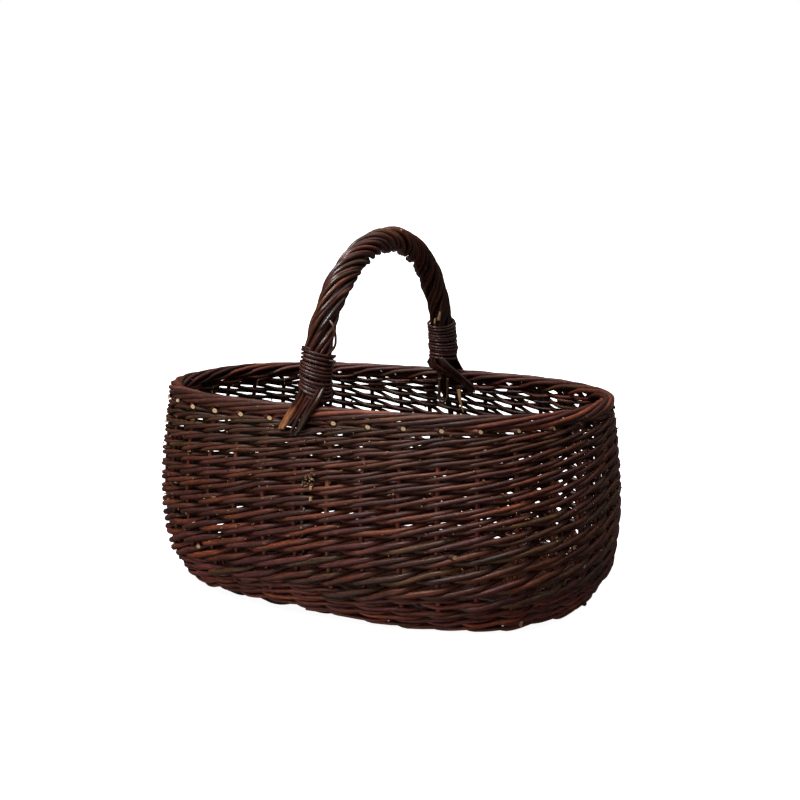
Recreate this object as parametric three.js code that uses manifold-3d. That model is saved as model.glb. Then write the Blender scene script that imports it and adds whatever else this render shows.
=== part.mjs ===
// Oval willow log basket with a roped cross handle, in millimetres.
// +Z is up, +X runs along the basket, and the origin is on the floor under the middle of the base.
// Stakes stand in the base, and courses of weaving pass outside two stakes and inside one. The stakes' tops
// are bent over along the rim and form the border. A bow crosses from one long side to the other.
// Roping rods wind round it, and a thin rod binds them above each foot.
import * as THREE from "three";
import { mergeVertices } from "three/addons/utils/BufferGeometryUtils.js";
import Module from "manifold-3d";

const wasm = await Module();
wasm.setup();

// Wall, measured to the line of the stakes
const bellyLength = 480;
const bellyWidth = 318;
const ovalPower = 2.46; // 2 is an ellipse, and more is squarer
const bellyHeight = 103;
const cornerReach = 33; // how far the wall draws in from the belly to the base
const rimInset = 19; // how far it draws in from the belly to the rim
const rimInsetEnds = 11.5; // the same at the basket's two ends
const rimHeight = 204; // middle of the border

// Willow
const stakeCount = 36;
const stakeRadius = 3;
const stakeSides = 5;
const footDepth = 25; // length of stake that is pushed into the base
const courseCount = 8;
const courseThickness = 5.2;
const courseRods = 3; // rods side by side in a course
const waleRods = 2; // and in the first and the last one
const rodGroove = 1.9; // depth of the grooves between them
const strokeStakes = 3; // stakes in one weaving stroke: outside two, inside one
const gap = 0.4; // between touching pieces
const strokeGap = 0.9; // between a stake and the weaving that bends round it

// Border
const borderLay = THREE.MathUtils.degToRad(85); // turn of a border rod from one stake to the next
const borderStart = THREE.MathUtils.degToRad(-50); // where a bent stake joins the border
const borderStep = 0.5; // stakes between sections of a border rod
const borderFirst = 0.25; // stakes from the bend to the first section
const borderSections = 6;
const borderShift = 4; // how far the border stands out from the stakes
const tailPoints = [0.5, 0.78, 1]; // stakes from the last section to the points of a cut end
const tailDrop = 3.2; // room between the cut ends and the weaving

// Base
const baseSkin = 3;
const baseSpokes = 20; // the upper skin's weaving rises over each spoke and sinks between two
const baseCrown = 1; // how far it rises
const baseHollow = 2; // how far it sinks
const heartLength = 180; // the middle of the base, where the ridges end
const heartWidth = 20;
const lowerLip = 6; // how far the lower skin reaches out under the stakes where they bend up
const upperRoom = 12; // from the line of the stakes in to the upper skin
const longStickRadius = 3;
const longStickCount = 2;
const shortStickRadius = 5;
const shortStickCount = 3;
const shortStickPitch = 72;
const baseSides = 48;
const stickSides = 8;

// Handle
const archInset = 25; // from the belly line in to the middle of the bow
const archLift = 21; // from the middle of the border up to where the arch begins
const archTop = 364; // height of the middle of the bow
const bowRadius = 8;
const legRadius = 4; // the bow's tapered ends, inside the wall
const legRows = 6; // courses that the tapered ends reach down through
const bowSides = 10;
const archSteps = 22;
const ropingCount = 6;
const ropingThickness = 4.7;
const ropingCover = 0.72; // share of the bow's girth that the roping fills
const ropingFootRoom = 1.28; // pitch of the feet in widths of a rod
const ropingTurns = 3.5;
const ropingSteps = 12; // sections in one turn
const ropingFootShift = 14; // how far a roping rod slants sideways below its binding
const ropingFootLength = 27;
const bindingRadius = 1.5;
const bindingTurns = 10;
const bindingPitch = 4.2;
const bindingSteps = 16;
const bindingSides = 5;
const flatFace = 0.58; // width of a flat rod's faces as a share of its whole width

const bark = {
  stake: new THREE.MeshStandardMaterial({ color: 0x4a2b22, roughness: 0.62, metalness: 0 }),
  weaver: new THREE.MeshStandardMaterial({ color: 0x3d241f, roughness: 0.6, metalness: 0 }),
  base: new THREE.MeshStandardMaterial({ color: 0x3a2620, roughness: 0.7, metalness: 0 }),
  handle: new THREE.MeshStandardMaterial({ color: 0x3b2420, roughness: 0.55, metalness: 0 }),
  binding: new THREE.MeshStandardMaterial({ color: 0x33201d, roughness: 0.55, metalness: 0 }),
};

const basket = new THREE.Group();

function addPiece(name, geometry, material) {
  const mesh = new THREE.Mesh(geometry, material);
  mesh.name = name;
  basket.add(mesh);
  return mesh;
}

// The belly's outline, a rounded oval.
class Oval extends THREE.Curve {
  getPoint(share, target = new THREE.Vector3()) {
    const cos = Math.cos(2 * Math.PI * share);
    const sin = Math.sin(2 * Math.PI * share);
    const along = Math.abs((2 * cos) / bellyLength) ** ovalPower;
    const across = Math.abs((2 * sin) / bellyWidth) ** ovalPower;
    const reach = (along + across) ** (-1 / ovalPower);
    return target.set(reach * cos, reach * sin, 0);
  }
}

const belly = new Oval();
belly.arcLengthDivisions = 1440;
const girth = belly.getLength();
const stakePitch = girth / stakeCount;

// A point at a share of the way round, a distance outside the belly line, and a height.
// Above the belly, points near the two ends lie farther out, because the rim draws in less there.
function around(share, out, z) {
  const turn = share - Math.floor(share);
  const point = belly.getPointAt(turn);
  const tangent = belly.getTangentAt(turn);
  const end = ((2 * point.x) / bellyLength) ** 2;
  const rise = THREE.MathUtils.clamp((z - bellyHeight) / (courseTop - bellyHeight), 0, 1);
  const reach = out + (rimInset - rimInsetEnds) * end * rise ** 2;
  return new THREE.Vector3(point.x + tangent.y * reach, point.y - tangent.x * reach, z);
}

const baseMiddle = baseSkin + gap + stakeRadius; // height of the stakes' feet, which rest on the lower skin

// How far the line of the stakes lies outside the belly line at a height.
// It is an ellipse below the belly and a parabola above it.
function wallOut(z) {
  if (z < bellyHeight) {
    const drop = Math.min(1, (bellyHeight - z) / (bellyHeight - baseMiddle));
    return -cornerReach * (1 - Math.sqrt(1 - drop * drop));
  }
  return -rimInset * ((z - bellyHeight) / (rimHeight - bellyHeight)) ** 2;
}

// A point of the wall at a height, lifted square to it.
function wall(share, z, lift) {
  const step = 0.5;
  const slope = Math.atan2(wallOut(z + step) - wallOut(z - step), 2 * step);
  return around(share, wallOut(z) + lift * Math.cos(slope), z - lift * Math.sin(slope));
}

// A closed solid through rings of points, either capped at both ends or joined end to end.
function loft(rings, endless = false) {
  const sides = rings[0].length;
  const positions = rings.flat().flatMap((p) => [p.x, p.y, p.z]);
  const index = [];
  const spans = endless ? rings.length : rings.length - 1;
  for (let i = 0; i < spans; i++) {
    const here = i * sides;
    const next = ((i + 1) % rings.length) * sides;
    for (let j = 0; j < sides; j++) {
      const k = (j + 1) % sides;
      index.push(here + j, here + k, next + k, here + j, next + k, next + j);
    }
  }
  if (!endless) {
    const last = (rings.length - 1) * sides;
    for (let j = 1; j < sides - 1; j++) {
      index.push(0, j + 1, j, last, last + j, last + j + 1);
    }
  }
  const geometry = new THREE.BufferGeometry();
  geometry.setAttribute("position", new THREE.Float32BufferAttribute(positions, 3));
  geometry.setIndex(index);
  geometry.computeVertexNormals();
  return geometry;
}

function tangents(points) {
  return points.map((point, i) => {
    const before = points[Math.max(0, i - 1)];
    const after = points[Math.min(points.length - 1, i + 1)];
    return after.clone().sub(before).normalize();
  });
}

const askew = new THREE.Vector3(0.3, 0.5, 0.81); // no rod starts along this direction

// A rod of round section along points, with one radius or a radius for each point.
function rod(points, radius, sides) {
  const along = tangents(points);
  const normal = askew.clone().cross(along[0]).normalize();
  const rings = points.map((point, i) => {
    normal.addScaledVector(along[i], -normal.dot(along[i])).normalize();
    const side = along[i].clone().cross(normal);
    const size = Array.isArray(radius) ? radius[i] : radius;
    return Array.from({ length: sides }, (_, j) => {
      const turn = (2 * Math.PI * j) / sides;
      const radial = normal.clone().multiplyScalar(Math.cos(turn)).addScaledVector(side, Math.sin(turn));
      return point.clone().addScaledVector(radial, size);
    });
  });
  return loft(rings);
}

// A flat rod of six-sided section along points. Its thickness lies along the direction given at each point.
function flatRod(points, directions, width, thickness) {
  const along = tangents(points);
  const edge = width / 2;
  const face = edge * flatFace;
  const depth = thickness / 2;
  const outline = [
    [edge, 0],
    [face, depth],
    [-face, depth],
    [-edge, 0],
    [-face, -depth],
    [face, -depth],
  ];
  const rings = points.map((point, i) => {
    const across = directions[i].clone().cross(along[i]).normalize();
    const up = along[i].clone().cross(across);
    return outline.map(([w, t]) => point.clone().addScaledVector(across, w).addScaledVector(up, t));
  });
  return loft(rings);
}

// Stakes and legs in the wall, in the order in which the weaving meets them.
// A leg stands close beside its stake.
const legShift = stakeRadius + legRadius + 2 * strokeGap;
const backLeg = 0.25; // share of the way round
const frontLeg = 0.75;

function stakeShare(k) {
  return backLeg - legShift / girth + k / stakeCount;
}

const uprights = [];
for (let k = 0; k < stakeCount; k++) {
  uprights.push({ share: stakeShare(k), radius: stakeRadius, stake: k });
  if (k === 0 || 2 * k === stakeCount) {
    uprights.push({ share: stakeShare(k) + legShift / girth, radius: legRadius, stake: k });
  }
}

// Base: two split skins of weaving, with the sticks and the stakes' feet between them
const baseTop = 2 * baseSkin + 2 * gap + 2 * shortStickRadius;
const lowerEdge = wallOut(baseMiddle) + lowerLip;
const upperEdge = wallOut(baseTop) - upperRoom;

function lowerWeave() {
  const outline = Array.from({ length: baseSides }, (_, i) => around(i / baseSides, lowerEdge, 0));
  const shape = new THREE.Shape(outline.map((p) => new THREE.Vector2(p.x, p.y)));
  return new THREE.ExtrudeGeometry(shape, { depth: baseSkin, bevelEnabled: false });
}

// The upper skin: flat below, and above it ridges along the spokes from the edge to the middle.
function upperWeave() {
  const sides = 2 * baseSpokes;
  const alongHeart = heartLength / (bellyLength + 2 * upperEdge);
  const acrossHeart = heartWidth / (bellyWidth + 2 * upperEdge);
  const below = Array.from({ length: sides }, (_, i) => around(i / sides, upperEdge, baseTop - baseSkin));
  const edge = below.map((p, i) => p.clone().setZ(baseTop + (i % 2 === 0 ? baseCrown : -baseHollow)));
  const heart = edge.map((p) => new THREE.Vector3(p.x * alongHeart, p.y * acrossHeart, p.z));
  const flat = heart.map((p) => new THREE.Vector3(p.x * alongHeart, p.y * alongHeart, baseTop));
  return loft([below, edge, heart, flat]);
}

function solidOf(geometry) {
  const bare = geometry.clone();
  bare.deleteAttribute("normal");
  bare.deleteAttribute("uv");
  const merged = mergeVertices(bare, 1e-4);
  return new wasm.Manifold(
    new wasm.Mesh({
      numProp: 3,
      vertProperties: merged.attributes.position.array,
      triVerts: new Uint32Array(merged.index.array),
    }),
  );
}

function geometryOf(solid) {
  const mesh = solid.getMesh();
  const geometry = new THREE.BufferGeometry();
  geometry.setAttribute("position", new THREE.BufferAttribute(mesh.vertProperties, 3));
  geometry.setIndex(new THREE.BufferAttribute(mesh.triVerts, 1));
  geometry.computeVertexNormals();
  return geometry;
}

const stickHeight = baseSkin + gap + shortStickRadius;
const longStickPitch = 2 * longStickRadius + gap;

// Length of a base stick that ends short of the stakes' feet, where the belly is this long across.
function stickLength(across) {
  return across + 2 * (wallOut(baseMiddle) - footDepth - stakeRadius);
}

function longStick(i) {
  const length = stickLength(bellyLength);
  const stick = new THREE.CylinderGeometry(longStickRadius, longStickRadius, length, stickSides);
  const mesh = addPiece(`base_stick_long_${i + 1}`, stick, bark.base);
  mesh.rotation.z = Math.PI / 2;
  mesh.position.set(0, longStickPitch * (i - (longStickCount - 1) / 2), stickHeight);
}

// A short stick is split, and the long sticks pass through the split.
function shortStick(i) {
  const x = shortStickPitch * (i - (shortStickCount - 1) / 2);
  const across = bellyWidth * (1 - Math.abs((2 * x) / bellyLength) ** ovalPower) ** (1 / ovalPower);
  const length = stickLength(across);
  const stick = new THREE.CylinderGeometry(shortStickRadius, shortStickRadius, length, stickSides);
  const split = new THREE.BoxGeometry(
    4 * shortStickRadius,
    longStickCount * longStickPitch + gap,
    2 * (longStickRadius + gap),
  );
  const splitStick = geometryOf(solidOf(stick).subtract(solidOf(split)));
  const mesh = addPiece(`base_stick_short_${i + 1}`, splitStick, bark.base);
  mesh.position.set(x, 0, stickHeight);
}

// Border: each rod of the rope lies a rod and a gap from the next, also halfway between two sections.
const borderOut = -rimInset + borderShift;
const borderRadius =
  (2 * stakeRadius + gap) / (2 * Math.sin(borderLay / 2) * Math.cos((borderLay * borderStep) / 2));
const borderBottom = rimHeight - borderRadius - stakeRadius;
const tailHeight = borderBottom - gap - stakeRadius;
const courseTop = tailHeight - tailDrop - stakeRadius;
const courseBottom = baseTop + gap;
const coursePitch = (courseTop - courseBottom) / courseCount;

// Heights of the lines between courses, from one line up.
// One more lies halfway up the first course, where the wall bends most.
function rowHeights(first) {
  const rows = [0, 0.5, ...Array.from({ length: courseCount }, (_, i) => i + 1)];
  return rows.filter((row) => row >= first).map((row) => courseBottom + row * coursePitch);
}

// A stake: its foot in the base, up the wall, along the border and out under it.
function stakePath(k) {
  const share = stakeShare(k);
  const step = 1 / stakeCount;
  const foot = wallOut(baseMiddle);
  const path = [around(share, foot - footDepth, baseMiddle), around(share, foot, baseMiddle)];
  rowHeights(0).forEach((z) => path.push(around(share, wallOut(z), z)));
  for (let i = 0; i < borderSections; i++) {
    const turn = borderStart + borderLay * borderStep * i;
    const out = borderOut + borderRadius * Math.cos(turn);
    const z = rimHeight + borderRadius * Math.sin(turn);
    path.push(around(share + step * (borderFirst + borderStep * i), out, z));
  }
  const bent = borderFirst + borderStep * (borderSections - 1);
  const tail = [
    [borderOut - borderRadius, rimHeight - borderRadius],
    [borderOut, tailHeight],
    [borderOut + borderRadius, tailHeight - gap],
  ];
  tail.forEach(([out, z], i) => path.push(around(share + step * (bent + tailPoints[i]), out, z)));
  return path;
}

// The section of a course, as distances up and out from its middle: rods side by side, each a ridge
// on both faces, with grooves between them.
function courseSection(rods) {
  const half = (coursePitch - gap) / 2;
  const face = Array.from({ length: 2 * rods - 1 }, (_, i) => {
    const groove = i % 2 === 0 ? 0 : rodGroove;
    return [half * (1 - (i + 1) / rods), courseThickness / 2 - groove];
  });
  const back = face.map(([up, out]) => [up, -out]).reverse();
  return [[half, 0], ...face, [-half, 0], ...back];
}

// A course of weaving, one closed ring that bends round each stake.
function course(row) {
  const middle = courseBottom + (row + 0.5) * coursePitch;
  const section = courseSection(row === 0 || row === courseCount - 1 ? waleRods : courseRods);
  const rings = uprights.map(({ share, radius, stake }) => {
    const inside = (stake + row + 1) % strokeStakes === 0;
    const lift = (inside ? -1 : 1) * (radius + strokeGap + courseThickness / 2);
    return section.map(([up, out]) => wall(share, middle + up, lift + out));
  });
  return loft(rings, true);
}

function courseName(row) {
  if (row === 0) return "upsett_wale";
  return row === courseCount - 1 ? "top_wale" : `side_course_${row}`;
}

// Handle bow: an arch whose tapered legs go down inside the border and then between the weaving
const bellyHalf = bellyWidth / 2;
const archHalfWidth = bellyHalf - archInset;
const archSpring = rimHeight + archLift;
const archHeight = archTop - archSpring;
const legInset = borderRadius + stakeRadius + 2 * gap + legRadius; // between the middles of border and leg
const rimLeg = bellyHalf + borderOut - legInset;

// The bow's middle line at an angle from the front spring to the back one.
function archPoint(angle) {
  return new THREE.Vector3(0, -archHalfWidth * Math.cos(angle), archSpring + archHeight * Math.sin(angle));
}

function archTangent(angle) {
  return new THREE.Vector3(0, archHalfWidth * Math.sin(angle), archHeight * Math.cos(angle)).normalize();
}

function bow() {
  const leg = rowHeights(courseCount - legRows).slice(0, -1).map((z) => [bellyHalf + wallOut(z), z]);
  const legRadii = leg.map((_, i) => (i === 0 ? legRadius / 2 : legRadius));
  leg.push([rimLeg, borderBottom], [rimLeg, rimHeight + borderRadius]);
  legRadii.push(legRadius, (legRadius + bowRadius) / 2);
  const front = leg.map(([y, z]) => new THREE.Vector3(0, -y, z));
  const back = leg.map(([y, z]) => new THREE.Vector3(0, y, z)).reverse();
  const arch = Array.from({ length: archSteps + 1 }, (_, i) => archPoint((Math.PI * i) / archSteps));
  const radii = [...legRadii, ...arch.map(() => bowRadius), ...legRadii.toReversed()];
  return rod([...front, ...arch, ...back], radii, bowSides);
}

// Roping: rods that wind round the bow, half of them from each foot. They cross the border outside at
// the foot where they start and inside at the other.
const ropingStepAngle = (2 * Math.PI) / ropingSteps;
const ropingRadius = (bowRadius + gap + ropingThickness / 2) / Math.cos(ropingStepAngle / 2);
const ropingWidth = ropingCover * 2 * ropingRadius * Math.sin(Math.PI / ropingCount);
const ropingFootPitch = ropingWidth * ropingFootRoom;

// Distance from the middle of the basket to a roping rod that lies on the wall's outer face.
function outsideWall(z) {
  const weaving = legRadius + 2 * strokeGap + courseThickness;
  return bellyHalf + wallOut(z) + weaving + ropingThickness / 2;
}

function ropingRod(i, half) {
  const perHalf = ropingCount / 2;
  const rank = i - (perHalf - 1) / 2;
  const spread = (2 * Math.PI) / ropingCount;
  const count = Math.round(ropingTurns * ropingSteps);
  const points = [];
  const directions = [];
  for (let j = 0; j <= count; j++) {
    const angle = (Math.PI * j) / count;
    const turn = rank * spread + 2 * Math.PI * ropingTurns * (j / count);
    const tangent = archTangent(angle);
    const side = new THREE.Vector3(1, 0, 0);
    const outward = side.clone().cross(tangent);
    const radial = outward.multiplyScalar(Math.cos(turn)).addScaledVector(side, Math.sin(turn));
    points.push(archPoint(angle).addScaledVector(radial, ropingRadius));
    directions.push(radial);
  }
  const outer = bellyHalf + borderOut + borderRadius + stakeRadius + gap + ropingThickness / 2;
  const inner = rimLeg - legRadius - gap - ropingThickness;
  const crossing = rimHeight + borderRadius;
  const end = crossing - ropingFootLength;
  const slant = (ropingFootShift * (crossing - courseTop)) / ropingFootLength;
  const front = new THREE.Vector3(0, -1, 0);
  const x = rank * ropingFootPitch;
  const startFoot = [
    new THREE.Vector3(x - ropingFootShift, -outsideWall(end), end),
    new THREE.Vector3(x - slant, -outsideWall(courseTop), courseTop),
    new THREE.Vector3(x, -outer, crossing),
  ];
  const endFoot = [
    new THREE.Vector3(-x, inner, crossing),
    new THREE.Vector3(slant - x, inner, courseTop),
    new THREE.Vector3(ropingFootShift - x, inner, end),
  ];
  const path = [...startFoot, ...points, ...endFoot];
  const faces = [front, front, front, ...directions, front, front, front];
  const roping = flatRod(path, faces, ropingWidth, ropingThickness);
  const mesh = addPiece(`roping_rod_${half}${i + 1}`, roping, bark.handle);
  if (half === "b") mesh.rotation.z = Math.PI;
}

// A thin rod wound round the roping above one foot, as one unbroken tube with short straight ends.
function bindingPath() {
  const ropingCorner = Math.hypot(ropingRadius + ropingThickness / 2, (flatFace * ropingWidth) / 2);
  const radius = (ropingCorner + gap + bindingRadius) / Math.cos(Math.PI / bindingSteps);
  const count = bindingTurns * bindingSteps;
  const turns = Array.from({ length: count + 1 }, (_, j) => {
    const angle = (bindingPitch * (j / bindingSteps) + bindingRadius) / archHeight;
    const turn = (2 * Math.PI * j) / bindingSteps;
    const side = new THREE.Vector3(1, 0, 0);
    const radial = side.clone().cross(archTangent(angle)).multiplyScalar(Math.cos(turn));
    return archPoint(angle).addScaledVector(radial.addScaledVector(side, Math.sin(turn)), radius);
  });
  const along = tangents(turns);
  const first = turns[0].clone().addScaledVector(along[0], -2 * bindingRadius);
  const last = turns[count].clone().addScaledVector(along[count], 2 * bindingRadius);
  return [first, ...turns, last];
}

// The least room between a winding's turns, measured on its points.
function leastGap(points, radius, stepsInTurn) {
  let least = Infinity;
  for (let i = 0; i < points.length; i++) {
    for (let j = i + Math.floor(stepsInTurn / 2); j < points.length; j++) {
      least = Math.min(least, points[i].distanceTo(points[j]));
    }
  }
  return least - 2 * radius;
}

addPiece("base_weave_lower", lowerWeave(), bark.base);
addPiece("base_weave_upper", upperWeave(), bark.base);
for (let i = 0; i < longStickCount; i++) longStick(i);
for (let i = 0; i < shortStickCount; i++) shortStick(i);
for (let k = 0; k < stakeCount; k++) {
  const number = String(k + 1).padStart(2, "0");
  addPiece(`stake_${number}`, rod(stakePath(k), stakeRadius, stakeSides), bark.stake);
}
for (let row = 0; row < courseCount; row++) addPiece(courseName(row), course(row), bark.weaver);
addPiece("handle_bow", bow(), bark.handle);
for (const half of ["a", "b"]) {
  for (let i = 0; i < ropingCount / 2; i++) ropingRod(i, half);
}
const binding = bindingPath();
const turnGap = leastGap(binding, bindingRadius, bindingSteps);
console.log(`least gap between binding turns: ${turnGap.toFixed(2)} mm`);
addPiece("handle_binding_front", rod(binding, bindingRadius, bindingSides), bark.binding);
addPiece("handle_binding_back", rod(binding, bindingRadius, bindingSides), bark.binding).rotation.z = Math.PI;

export default basket;
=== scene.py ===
import math

import bpy
import numpy as np
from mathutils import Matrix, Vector


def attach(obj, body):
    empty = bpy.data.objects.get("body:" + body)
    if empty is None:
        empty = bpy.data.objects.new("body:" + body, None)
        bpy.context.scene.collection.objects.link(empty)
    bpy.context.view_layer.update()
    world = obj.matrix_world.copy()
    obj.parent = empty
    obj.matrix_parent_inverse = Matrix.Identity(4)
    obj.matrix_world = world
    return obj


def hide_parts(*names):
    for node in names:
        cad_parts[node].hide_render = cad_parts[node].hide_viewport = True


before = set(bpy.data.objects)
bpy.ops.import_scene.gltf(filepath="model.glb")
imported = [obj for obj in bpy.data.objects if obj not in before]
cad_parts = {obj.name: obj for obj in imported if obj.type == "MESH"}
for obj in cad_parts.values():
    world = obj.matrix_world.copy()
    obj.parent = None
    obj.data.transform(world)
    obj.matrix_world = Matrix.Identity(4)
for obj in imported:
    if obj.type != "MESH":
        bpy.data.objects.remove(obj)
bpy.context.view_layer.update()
print("frame loaded:", len(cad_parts), "solids")

mm = 0.001  # sizes are in millimetres unless a note says otherwise
rng = np.random.default_rng(36)

# the line of the stakes, the same as in the solids
wall = {
    "length": 480,
    "width": 318,
    "power": 2.46,  # 2 is an ellipse, and more is squarer
    "bellyHeight": 103,
    "cornerReach": 33,  # drawn in from the belly to the base
    "rimInset": 19,  # drawn in from the belly to the rim
    "rimInsetEnds": 11.5,  # the same at the two ends
    "footHeight": 6.4,
    "weaveTop": 189,
    "rimHeight": 204,
    "top": 215,  # heights are worked out up to here
}
stakeCount = 36
legShift = 8.8  # from a stake to the handle's leg beside it
backLeg = 0.25  # share of the way round


# a value from a table of places and values
def tableAt(table, place):
    return np.interp(place, *np.transpose(table))


def unit(vectors):
    return vectors / np.maximum(np.linalg.norm(vectors, axis=-1, keepdims=True), 1e-12)


def lengthAlong(path):
    return np.concatenate([[0], np.cumsum(np.linalg.norm(np.diff(path, axis=0), axis=1))])


def ovalTable(halfLength, halfWidth, count=2880):
    turn = np.linspace(0, 2 * np.pi, count + 1)
    cos, sin = np.cos(turn), np.sin(turn)
    power = wall["power"]
    reach = (np.abs(cos / halfLength) ** power + np.abs(sin / halfWidth) ** power) ** (-1 / power)
    points = np.stack([reach * cos, reach * sin], 1)
    length = lengthAlong(points)
    tangent = unit(np.roll(points[:-1], -1, 0) - np.roll(points[:-1], 1, 0))
    tangent = np.vstack([tangent, tangent[:1]])
    normal = np.stack([tangent[:, 1], -tangent[:, 0]], 1)
    return {"points": points, "normal": normal, "share": length / length[-1], "girth": length[-1]}


# a point at a share of the way round, so far out of the oval. High up, the ends draw in less
def onOval(table, share, out, z):
    turn = np.mod(share, 1.0)
    columns = np.hstack([table["points"], table["normal"]]).T
    x, y, nx, ny = (np.interp(turn, table["share"], column) for column in columns)
    rise = np.clip((z - wall["bellyHeight"]) / (wall["weaveTop"] - wall["bellyHeight"]), 0, 1)
    out = out + (wall["rimInset"] - wall["rimInsetEnds"]) * (2 * x / wall["length"]) ** 2 * rise**2
    return np.stack([x + nx * out, y + ny * out, np.broadcast_to(z, np.shape(x))], -1)


belly = ovalTable(wall["length"] / 2, wall["width"] / 2)


def stakeShare(k):
    return backLeg - legShift / belly["girth"] + np.asarray(k) / stakeCount


# how far the wall stands out of the belly line at a height
def wallOut(z):
    z = np.asarray(z, float)
    drop = np.clip((wall["bellyHeight"] - z) / (wall["bellyHeight"] - wall["footHeight"]), 0, 1)
    below = -wall["cornerReach"] * (1 - np.sqrt(1 - drop**2))
    rise = np.clip((z - wall["bellyHeight"]) / (wall["rimHeight"] - wall["bellyHeight"]), 0, 2)
    return np.where(z < wall["bellyHeight"], below, -wall["rimInset"] * rise**2)


# a point of the wall at a height, lifted square to it
def wallPoint(share, z, lift):
    slope = np.arctan2(wallOut(z + 0.5) - wallOut(z - 0.5), 1.0)
    return onOval(belly, share, wallOut(z) + lift * np.cos(slope), z - lift * np.sin(slope))


# the wall's outward direction
def wallFacing(share, z):
    return wallPoint(share, z, 1.0) - wallPoint(share, z, 0.0)


wallHeights = np.linspace(wall["footHeight"], wall["top"], 800)
wallLengths = lengthAlong(np.stack([wallOut(wallHeights), wallHeights], 1))


# height at a distance up the wall from the stakes' feet
def climb(length):
    return np.interp(length, wallLengths, wallHeights)


# and the distance up to a height
def climbTo(height):
    return np.interp(height, wallHeights, wallLengths)


# rods

barkColours = {  # sRGB, with how often each is used
    "russet": ((114, 57, 37), 3),
    "chestnut": ((100, 51, 34), 5),
    "plum": ((88, 44, 41), 5),
    "umber": ((72, 43, 32), 3),
    "olive": ((92, 62, 38), 1.2),
}
barkSpread = {
    "blend": (0.2, 0.8),  # how far a rod goes over to a second colour at its tip
    "lightness": (0.72, 1.3),
    # painted shade: the side of a rod that faces into the basket is darkened, more so from the middle down
    "inside": ((100, 0.72), (175, 0.45), (200, 0.1)),  # how much darker on the inner side, at heights
}


def linear(colour):
    value = np.asarray(colour, float) / 255
    return np.where(value <= 0.04045, value / 12.92, ((value + 0.055) / 1.055) ** 2.4)


barkLinear = np.array([linear(colour) for colour, _ in barkColours.values()])
barkOdds = np.array([odds for _, odds in barkColours.values()], float)
barkOdds /= barkOdds.sum()


# a rod's colour, from its butt to its tip
def barkShade(path, lightness=1.0):
    first, second = barkLinear[rng.choice(len(barkLinear), 2, p=barkOdds)]
    blend = np.linspace(0, 1, len(path))[:, None] * rng.uniform(*barkSpread["blend"])
    return (first * (1 - blend) + second * blend) * lightness * rng.uniform(*barkSpread["lightness"])


# painted shade on the inner side of the rods, deeper towards the bottom of the basket
def insideShade(heights):
    return tableAt(barkSpread["inside"], heights)


def newBundle():
    return {key: [] for key in ("verts", "grain", "colour", "scar", "quads", "quadUv", "tris", "triUv")}


rodForm = {
    "waver": 0.035,  # of the radius, by which a rod swells and thins
    "waverLength": (24, 40),
    "budSpread": (0.5, 1.5),  # of the spacing of the buds
    "budSwell": 0.1,
    "budLength": 3.2,
    "scarLength": 1.7,
    "scarWidth": 0.55,  # radians round the rod
    "grainShift": 5000,  # length of bark pattern in which a rod starts anywhere
}
# shares of a rod's strip in the bake map
bakeMap = {
    "bark": 0.97, "startCut": 0.975, "endCut": 0.988, "cutLength": 0.005, "cutWidth": 0.45,
    "height": 0.94, "edge": 0.03,
}


# a taper with the swellings of a willow rod's buds, and where those buds are
def rodRadius(path, butt, tip, budSpacing):
    along = lengthAlong(path)
    radius = butt + (tip - butt) * along / along[-1]
    waverLength = rng.uniform(*rodForm["waverLength"])
    radius *= 1 + rodForm["waver"] * np.sin(along / waverLength + rng.uniform(0, 6))
    spaces = rng.uniform(*rodForm["budSpread"], int(along[-1] / budSpacing) + 2) * budSpacing
    buds = np.cumsum(spaces) - rng.uniform(0, budSpacing)
    for bud in buds:
        radius *= 1 + rodForm["budSwell"] * np.exp(-(((along - bud) / rodForm["budLength"]) ** 2))
    return radius, buds


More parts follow.
